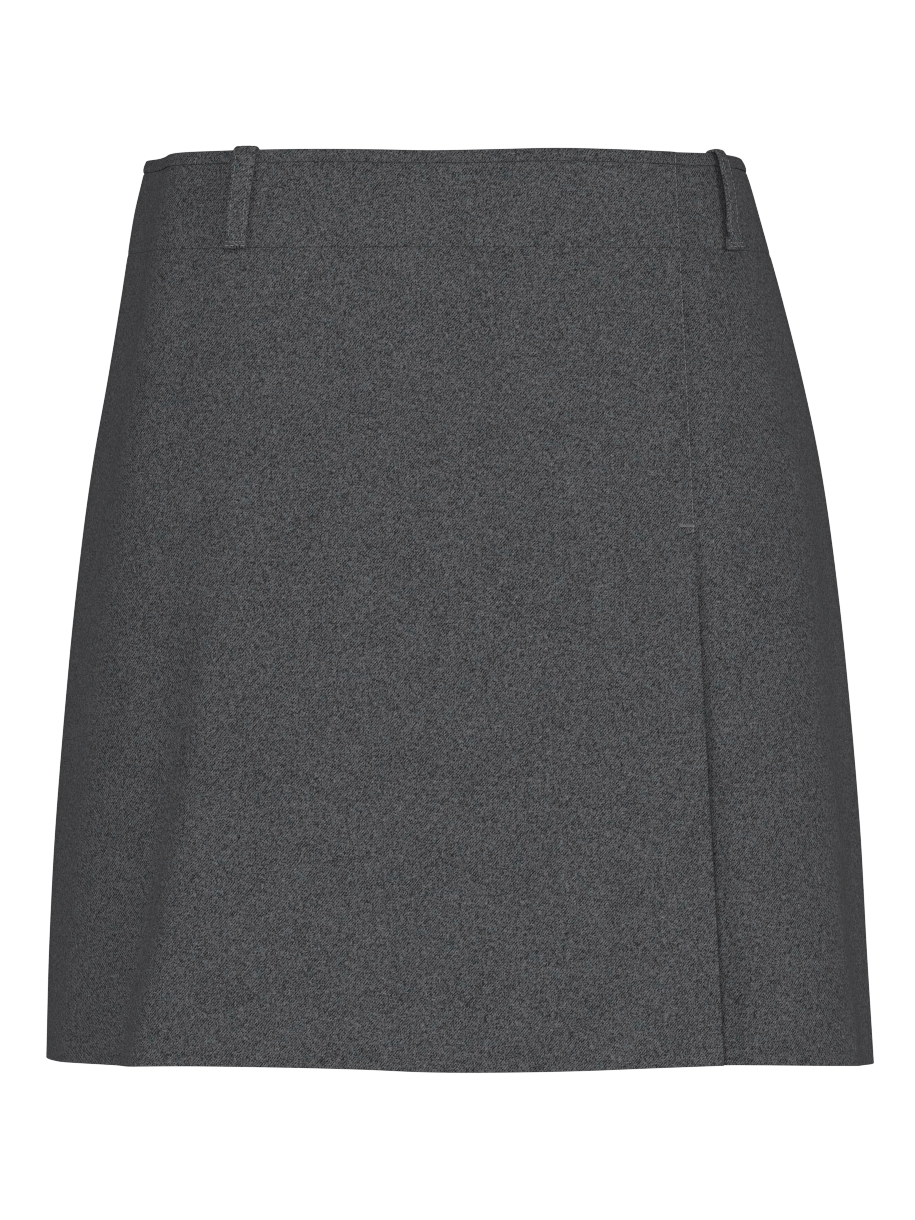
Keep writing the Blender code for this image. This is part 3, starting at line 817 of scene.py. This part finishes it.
def loop_stitches(loop):
    """Two rows down a belt loop and the rows that hold its folded end."""
    face = loop_route()[LOOP_FACE]
    line = smooth_route(face, 6)
    stitches = []
    for side in (-LOOP_STITCH_LINE, LOOP_STITCH_LINE):
        sideways = side * loop_half_width(line[:, 1])
        points = loop_places(loop, sideways, line[:, 0] + LOOP_SHELL * 0.43, line[:, 1])
        _, _, out = surface_frames(np.full(len(line), loop.turn_top), np.maximum(line[:, 1], 0.0))
        along = distances(points[:, None, :], 0)[:, 0]
        for index in range(int(along[-1] / STITCH_PITCH)):
            place = (index + 0.5) * STITCH_PITCH + 0.0002 * sin(4.1 * index + side)
            middle = value_at(place, along, points)
            way = unit(value_at(place + PROBE, along, points) - middle)
            stitches.append((middle, way, out[0], STITCH_LENGTH, THREAD_RADIUS * 0.9))
    end_rows = [(LOOP_BOTTOM - 0.0029, 0.0070, 0.0012, 0.00021),
                (LOOP_BOTTOM - 0.0013, 0.0066, 0.0020, 0.00024)]
    front_out = face[-1].out + LOOP_SHELL * 0.42
    for drop, width, pitch, radius in end_rows:
        count = int(width / pitch) + 1
        for index in range(count):
            sideways = np.array([-width / 2 + width * index / (count - 1)])
            drops = np.array([drop + 0.00012 * sin(2.3 * index)])
            middle = loop_places(loop, sideways, np.array([front_out]), drops)[0]
            beside = loop_places(loop, sideways + 0.0004, np.array([front_out]), drops)[0]
            _, _, out = surface_frames(np.array([loop.turn_bottom]), drops)
            stitches.append((middle, unit(beside - middle), out[0], pitch * 0.95, radius))
    return stitches


# ---- materials -----------------------------------------------------------

class Nodes:
    """A new material, and short calls for building its node tree."""

    def __init__(self, name):
        self.material = bpy.data.materials.new(name)
        self.material.use_nodes = True
        self.tree = self.material.node_tree
        self.shader = self.tree.nodes["Principled BSDF"]

    def add(self, kind, **settings):
        node = self.tree.nodes.new(kind)
        for name, value in settings.items():
            setattr(node, name, value)
        return node

    def join(self, source, target):
        if isinstance(source, (int, float, tuple)):
            target.default_value = source
        else:
            self.tree.links.new(source, target)

    def fill(self, node, values):
        for name, value in values.items():
            self.join(value, node.inputs[name])

    def math(self, operation, *values):
        node = self.add("ShaderNodeMath", operation=operation)
        for value, socket in zip(values, node.inputs):
            self.join(value, socket)
        return node.outputs[0]

    def scaled(self, value, scale, plus):
        return self.math("MULTIPLY_ADD", value, scale, plus)

    def less(self, value, other):
        return self.math("SUBTRACT", value, other)

    def weave_place(self):
        """The place on the cloth, its part across and its part down."""
        place = self.add("ShaderNodeUVMap", uv_map="weave").outputs["UV"]
        split = self.add("ShaderNodeSeparateXYZ")
        self.join(place, split.inputs[0])
        return place, split.outputs[0], split.outputs[1]

    def bump(self, height, strength, distance):
        node = self.add("ShaderNodeBump")
        self.fill(node, {"Strength": strength, "Distance": distance, "Height": height})
        self.join(node.outputs[0], self.shader.inputs["Normal"])

    def vector(self, x, y, z):
        node = self.add("ShaderNodeCombineXYZ")
        for value, socket in zip((x, y, z), node.inputs):
            self.join(value, socket)
        return node.outputs[0]

    def noise(self, place, scale, detail, roughness):
        node = self.add("ShaderNodeTexNoise")
        self.fill(node, {"Vector": place, "Scale": scale, "Detail": detail,
                         "Roughness": roughness})
        return node.outputs["Fac"]

    def mix_colour(self, share, first, second, blend="MIX"):
        node = self.add("ShaderNodeMix", data_type="RGBA", blend_type=blend)
        self.fill(node, {"Factor": share, "A": first, "B": second})
        return [socket for socket in node.outputs if socket.type == "RGBA"][0]


ENDS_APART = 0.00029  # warp yarns
PICKS_APART = 0.00034  # weft yarns
YARN_WANDER = 3.2  # in yarns
SINGLE_CONTRAST = 1.7  # one float of yarn against the next
DOUBLE_CONTRAST = 0.65  # the same, two yarns together
SLUB_CONTRAST = 0.7  # thick places, in streaks
FLECK_CONTRAST = 0.6
CLOUD_CONTRAST = 0.40  # faint large unevenness
TWILL_CONTRAST = 0.9  # warp floats are lighter than weft floats
STREAK_FROM = 0.60  # a few yarns are light for some millimetres
STREAK_CONTRAST = 6.0
STREAK_RUN = 0.0024
DARKEST = 0.10
TINT = (0.84, 1.04, 1.04)  # the blue green fibres, as shares of the cloth's colour


def wool_twill(name, colour, seed):
    """2/2 twill of melange wool, its lines rising to the right."""
    nodes = Nodes(name)
    math, noise, vector = nodes.math, nodes.noise, nodes.vector
    less, scaled = nodes.less, nodes.scaled
    _, across, down = nodes.weave_place()

    # yarns wander a little, so the twill lines are not ruled
    wander = less(noise(vector(across, down, seed), 210.0, 3.0, 0.6), 0.5)
    ends = scaled(wander, YARN_WANDER, math("DIVIDE", across, ENDS_APART))
    drift = less(noise(vector(across, down, seed + 5.0), 260.0, 3.0, 0.6), 0.5)
    picks = scaled(drift, YARN_WANDER, math("DIVIDE", down, PICKS_APART))
    end, pick = math("FLOOR", ends), math("FLOOR", picks)
    step = math("MODULO", math("ADD", end, pick), 4.0)
    step = math("MODULO", math("ADD", step, 4.0), 4.0)
    warp_up = math("LESS_THAN", step, 1.5)

    # each float is its own blend of light and dark fibre, and yarns have thick places
    repeat = math("FLOOR", math("DIVIDE", math("ADD", end, pick), 4.0))

    def chance(first, second, offset):
        node = nodes.add("ShaderNodeTexWhiteNoise", noise_dimensions="3D")
        nodes.join(vector(first, second, seed + offset), node.inputs["Vector"])
        return node.outputs["Value"]

    def yarn(index, length_place, run, offset):
        where = vector(math("MULTIPLY", index, 0.731), math("DIVIDE", length_place, run),
                       seed + offset)
        return noise(where, 1.0, 1.0, 0.5)

    def light_yarn(index, length_place, offset):
        light = less(yarn(index, length_place, STREAK_RUN, offset), STREAK_FROM)
        return math("MAXIMUM", light, 0.0)

    def either(warp, weft):
        return scaled(warp_up, less(warp, weft), weft)

    def halved(index, parts):
        return math("FLOOR", math("DIVIDE", index, parts))

    single = either(chance(end, repeat, 11.0), chance(pick, repeat, 13.0))
    double = either(chance(halved(end, 2.0), repeat, 17.0), chance(halved(pick, 2.0), repeat, 19.0))
    warp_slub = yarn(halved(end, 2.0), down, 0.0030, 31.0)
    weft_slub = yarn(halved(pick, 2.0), across, 0.0028, 43.0)
    both = math("ADD", warp_slub, weft_slub)
    streak = math("ADD", light_yarn(end, down, 53.0), light_yarn(pick, across, 57.0))
    fleck = noise(vector(across, down, seed + 61.0), 1500.0, 1.0, 0.5)
    cloud = noise(vector(across, down, seed + 71.0), 42.0, 3.0, 0.55)

    level = 1.0
    parts = [(single, 0.5, SINGLE_CONTRAST), (double, 0.5, DOUBLE_CONTRAST),
             (both, 1.0, SLUB_CONTRAST), (fleck, 0.5, FLECK_CONTRAST),
             (cloud, 0.5, CLOUD_CONTRAST), (warp_up, 0.5, TWILL_CONTRAST)]
    for part, mean, contrast in parts:
        level = scaled(less(part, mean), contrast, level)
    level = math("MAXIMUM", scaled(streak, STREAK_CONTRAST, level), DARKEST)

    # a few fibres lean to blue green
    tint_place = noise(vector(across, down, seed + 83.0), 170.0, 2.0, 0.5)
    tint = nodes.add("ShaderNodeMapRange")
    nodes.fill(tint, {"Value": tint_place, "From Min": 0.56, "From Max": 0.72, "To Max": 0.8})
    tinted = [part * share for part, share in zip(colour, TINT)]
    base = nodes.mix_colour(tint.outputs[0], (*colour, 1.0), (*tinted, 1.0))
    grey = nodes.add("ShaderNodeCombineColor")
    for socket in grey.inputs:
        nodes.join(level, socket)
    shaded = nodes.mix_colour(1.0, base, grey.outputs[0], "MULTIPLY")

    # relief: round yarns, the upper one of each crossing, and the thick places
    end_place = less(math("FRACT", ends), 0.5)
    pick_place = less(math("FRACT", picks), 0.5)
    warp_round = math("MULTIPLY", end_place, end_place)
    weft_round = math("MULTIPLY", pick_place, pick_place)
    height = scaled(either(warp_round, weft_round), -2.4, 0.6)
    height = scaled(warp_up, 0.3, height)
    nodes.bump(scaled(both, 0.7, height), 0.55, 0.00016)

    nodes.fill(nodes.shader, {
        "Base Color": shaded,
        "Roughness": scaled(fleck, 0.16, 0.80),
        "Specular IOR Level": 0.22,
        "Sheen Weight": 0.10,
        "Sheen Roughness": 0.55,
        "Sheen Tint": (0.72, 0.73, 0.76, 1.0),
    })
    return nodes.material


def sewing_thread(name, colour):
    """Twisted thread with a soft gloss, and painted shade and highlight along its twist."""
    nodes = Nodes(name)
    place, along, around = nodes.weave_place()
    twist = nodes.math("ADD", nodes.math("DIVIDE", along, 0.00042),
                       nodes.math("DIVIDE", around, 0.0010))
    twist = nodes.math("PINGPONG", twist, 0.5)
    fibre = nodes.noise(place, 5200.0, 2.0, 0.5)
    # painted shade and highlight: darker in the grooves between the plies, lighter on their crests,
    # along the twist the bump follows; the fibre noise adds random tone
    dark, light = [(*(part * share for part in colour), 1.0) for share in (0.62, 1.25)]
    twist_shaded_tone = nodes.mix_colour(nodes.scaled(fibre, 0.5, twist), dark, light)
    nodes.bump(twist, 0.6, 0.00005)
    nodes.fill(nodes.shader, {"Base Color": twist_shaded_tone, "Roughness": nodes.scaled(fibre, 0.2, 0.5),
                              "Sheen Weight": 0.1})
    return nodes.material


# ---- camera, light and floor ---------------------------------------------

CAMERA_DISTANCE = 4.5
CAMERA_PLACE = (0.0062, -CAMERA_DISTANCE, -0.221)
CAMERA_LOOKS_AT = (0.0062, 0.0, -0.2)
CAMERA_SENSOR = 36.0
PHOTO_HEIGHT = 1220.0  # pixels
PHOTO_SCALE = 2253.0  # pixels a metre at the waist axis
CAMERA_LENS = PHOTO_SCALE * CAMERA_DISTANCE / PHOTO_HEIGHT * CAMERA_SENSOR

LAMPS_LOOK_AT = (0.0, 0.0, -0.2)
WHITE = (1.0, 1.0, 1.0, 1.0)
FILL_STRENGTH = 0.07
FLOOR_HEIGHT = -0.62
FLOOR_RADIUS = 1.6
FLOOR_SIDES = 96
Lamp = namedtuple("Lamp", "name place size power")
LAMPS = [
    Lamp("left_softbox", (-2.70, -2.60, 0.50), 1.4, 31.0),
    Lamp("right_softbox", (2.70, -2.60, 0.50), 1.4, 45.0),
    Lamp("front_softbox", (-0.05, -3.7, 0.15), 1.2, 56.0),
]


def put(name, data, place, target):
    """Add a camera or a lamp that looks at a target."""
    item = bpy.data.objects.new(name, data)
    item.location = place
    way = Vector(target) - item.location
    item.rotation_euler = way.to_track_quat("-Z", "Y").to_euler()
    bpy.context.collection.objects.link(item)
    return item


def make_camera():
    camera = bpy.data.cameras.new("camera")
    camera.sensor_fit = "AUTO"
    camera.sensor_width = CAMERA_SENSOR
    camera.lens = CAMERA_LENS
    camera.clip_end = 50.0
    bpy.context.scene.camera = put("camera", camera, CAMERA_PLACE, CAMERA_LOOKS_AT)


def make_lamps():
    for lamp in LAMPS:
        light = bpy.data.lights.new(lamp.name, "AREA")
        light.shape = "SQUARE"
        light.size = lamp.size
        light.energy = lamp.power
        put(lamp.name, light, lamp.place, LAMPS_LOOK_AT)


def make_world():
    """White behind the skirt, a dimmer grey as fill light."""
    world = bpy.data.worlds.new("studio")
    bpy.context.scene.world = world
    world.use_nodes = True
    tree = world.node_tree
    fill = tree.nodes["Background"]
    seen = tree.nodes.new("ShaderNodeBackground")
    for node, strength in ((fill, FILL_STRENGTH), (seen, 1.0)):
        node.inputs["Color"].default_value = WHITE
        node.inputs["Strength"].default_value = strength
    path = tree.nodes.new("ShaderNodeLightPath")
    either = tree.nodes.new("ShaderNodeMixShader")
    sources = (path.outputs["Is Camera Ray"], fill.outputs[0], seen.outputs[0])
    for source, socket in zip(sources, either.inputs):
        tree.links.new(source, socket)
    tree.links.new(either.outputs[0], tree.nodes["World Output"].inputs["Surface"])


def set_look():
    # the denoiser takes the weave for noise and wipes it out
    bpy.context.scene.cycles.use_denoising = False
    bpy.context.scene.cycles.filter_width = 1.1
    settings = bpy.context.scene.view_settings
    settings.view_transform = "Standard"
    settings.look = "None"
    settings.exposure = 0.0
    settings.gamma = 1.0


def make_floor():
    mesh = bpy.data.meshes.new("floor")
    angles = [2 * pi * step / FLOOR_SIDES for step in range(FLOOR_SIDES)]
    rim = [(FLOOR_RADIUS * cos(angle), FLOOR_RADIUS * sin(angle), FLOOR_HEIGHT) for angle in angles]
    mesh.from_pydata(rim, [], [tuple(range(FLOOR_SIDES))])
    nodes = Nodes("pale_floor")
    place = nodes.add("ShaderNodeNewGeometry").outputs["Position"]
    grain = nodes.noise(place, 9.0, 3.0, 0.5)
    pale = nodes.mix_colour(grain, (0.80, 0.80, 0.80, 1.0), (0.84, 0.84, 0.84, 1.0))
    nodes.fill(nodes.shader, {"Base Color": pale, "Roughness": 0.7})
    mesh.materials.append(nodes.material)
    floor = bpy.data.objects.new("floor", mesh)
    bpy.context.collection.objects.link(floor)
    return floor


# ---- everything together -------------------------------------------------

def main():
    make_camera()
    make_lamps()
    make_world()
    set_look()
    make_floor()
    grey = (0.0745, 0.0745, 0.0785)
    panel_cloth = wool_twill("panel_twill", grey, 3.0)
    band_cloth = wool_twill("waistband_twill", grey, 17.0)
    binding_cloth = wool_twill("binding_twill", (0.071, 0.071, 0.075), 29.0)
    loop_cloth = wool_twill("loop_twill", (0.077, 0.077, 0.081), 37.0)
    thread = sewing_thread("grey_thread", (0.27, 0.27, 0.275))

    groups = [("panel_cloth", make_panels(panel_cloth)),
              ("waistband_cloth", make_waistband(band_cloth)),
              ("binding_cloth", make_binding(binding_cloth)),
              ("loop_cloth", [make_loop(loop, loop_cloth) for loop in LOOPS])]
    for slot, pieces in groups:
        for piece in pieces:
            node = piece.name[:-len("_cloth")]
            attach(piece, "root")
            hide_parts(node)

    panel_top = BINDING_HEIGHT + WAISTBAND_HEIGHT
    sewing = [
        ("waistband_edge_stitches", edge_stitches(BINDING_HEIGHT + 0.0008, panel_top - 0.0006)),
        ("binding_edge_stitches", edge_stitches(0.0010, BINDING_HEIGHT - 0.0008, BINDING_PROUD)),
        ("pleat_edge_stitches", edge_stitches(panel_top + 0.0010, EDGE_STITCH_END)),
        ("pleat_bar_tack", bar_tack()),
    ]
    for loop in LOOPS:
        sewing.append((loop.name + "_stitches", loop_stitches(loop)))
    for name, stitches in sewing:
        piece = stitch_mesh(name, stitches, thread)
        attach(piece, "root")


main()
